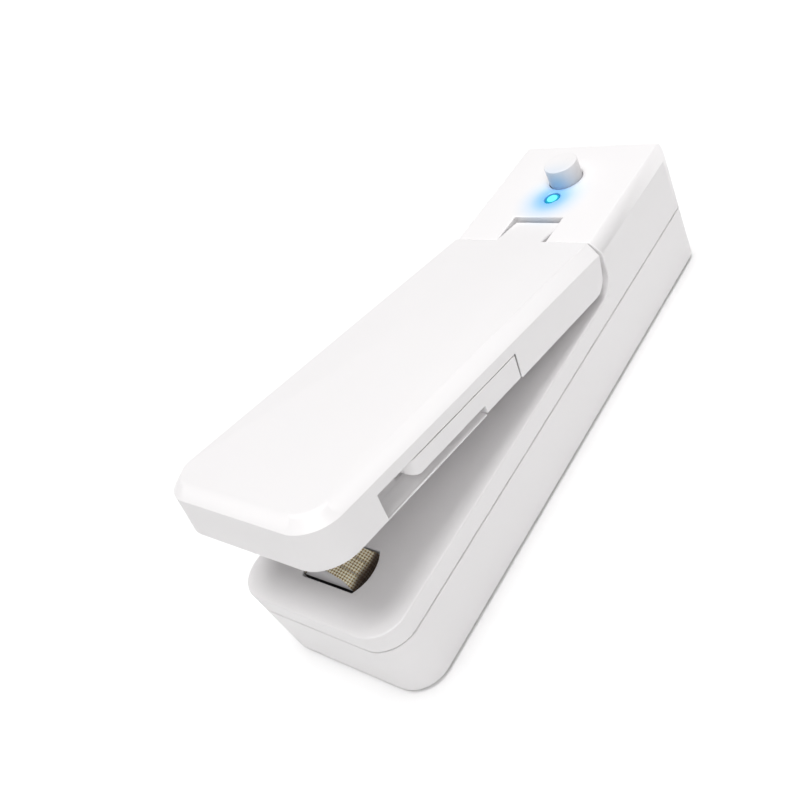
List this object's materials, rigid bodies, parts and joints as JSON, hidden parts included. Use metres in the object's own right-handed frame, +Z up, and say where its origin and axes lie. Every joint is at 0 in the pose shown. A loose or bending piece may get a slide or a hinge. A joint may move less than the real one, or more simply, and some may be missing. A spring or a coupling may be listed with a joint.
{
  "type": "handheld bag sealer",
  "caption": "Small hand-held heat sealer for bags: battery base with a cloth-covered heated head, spring-opened arm, push button, indicator light and fold-out side cutter.",
  "frame": {"origin": "centre of the footprint, on the surface the base lies on", "axes": "+Z up, -Y towards the end that seals, +X towards the side with the cutter lever"},
  "size_m": [0.0332, 0.106, 0.0404],
  "materials": {
    "white_shell": "white moulded plastic, satin gloss, very fine grain",
    "white_button": "white moulded plastic, smooth",
    "liner_plastic": "off-white moulded plastic, matt",
    "head_resin": "grey heat-resistant plastic",
    "glass_cloth": "coated woven glass cloth, tan, slight sheen",
    "heating_alloy": "flat resistance strip",
    "brass": "plated brass",
    "lead_insulation": "red silicone insulation",
    "cell_wrap": "heat-shrink film",
    "nickel": "nickel strip",
    "board_laminate": "green solder mask",
    "black_parts": "black moulded plastic",
    "stem_plastic": "dark moulded plastic",
    "led_lens": "lit blue lens",
    "plated_steel": "bright plated steel",
    "pin_steel": "ground steel",
    "spring_steel": "spring wire",
    "screw_steel": "zinc-plated steel",
    "blade_steel": "thin blade steel",
    "silicone": "grey silicone rubber"
  },
  "bodies": {
    "base": {"base_shell": "white_shell", "top_shell": "white_shell", "heater_seat": "head_resin", "heater_wire": "heating_alloy", "heater_cloth": "glass_cloth", "heater_terminals": "brass", "heater_leads": "lead_insulation", "battery": "cell_wrap", "battery_tabs": "nickel", "circuit_board": "board_laminate", "board_parts": "black_parts", "push_switch": "black_parts", "indicator_led": "led_lens", "usb_socket": "plated_steel", "usb_tongue": "black_parts", "hinge_pin": "pin_steel", "arm_spring": "spring_steel", "base_screws": "screw_steel", "board_screws": "screw_steel"},
    "arm": {"arm_shell": "white_shell", "arm_liner": "liner_plastic", "press_pad": "silicone", "arm_screws": "screw_steel", "lever_pin": "pin_steel"},
    "button": {"power_button": "white_button", "switch_plunger": "stem_plastic"},
    "lever": {"cutter_lever": "white_shell", "cutter_blade": "blade_steel", "blade_rivet": "pin_steel"}
  },
  "joints": [
    {"name": "arm_hinge", "type": "hinge", "parent": "base", "child": "arm", "pos_m": [0, 0.0262, 0.0204], "axis": [1, 0, 0], "range_deg": [0, 11.2], "stiffness_Nm_per_rad": 0.25, "springref_deg": -14.32, "deforming": ["arm_spring"]},
    {"name": "button_press", "type": "slide", "parent": "base", "child": "button", "axis": [0, 0, -1], "range_m": [0, 0.001], "stiffness_N_per_m": 400, "springref_m": -0.002},
    {"name": "cutter_fold", "type": "hinge", "parent": "arm", "child": "lever", "pos_m": [0.0146, -0.00882, 0.02605], "axis": [0, 0.1982, 0.9802], "range_deg": [0, 80]}
  ]
}
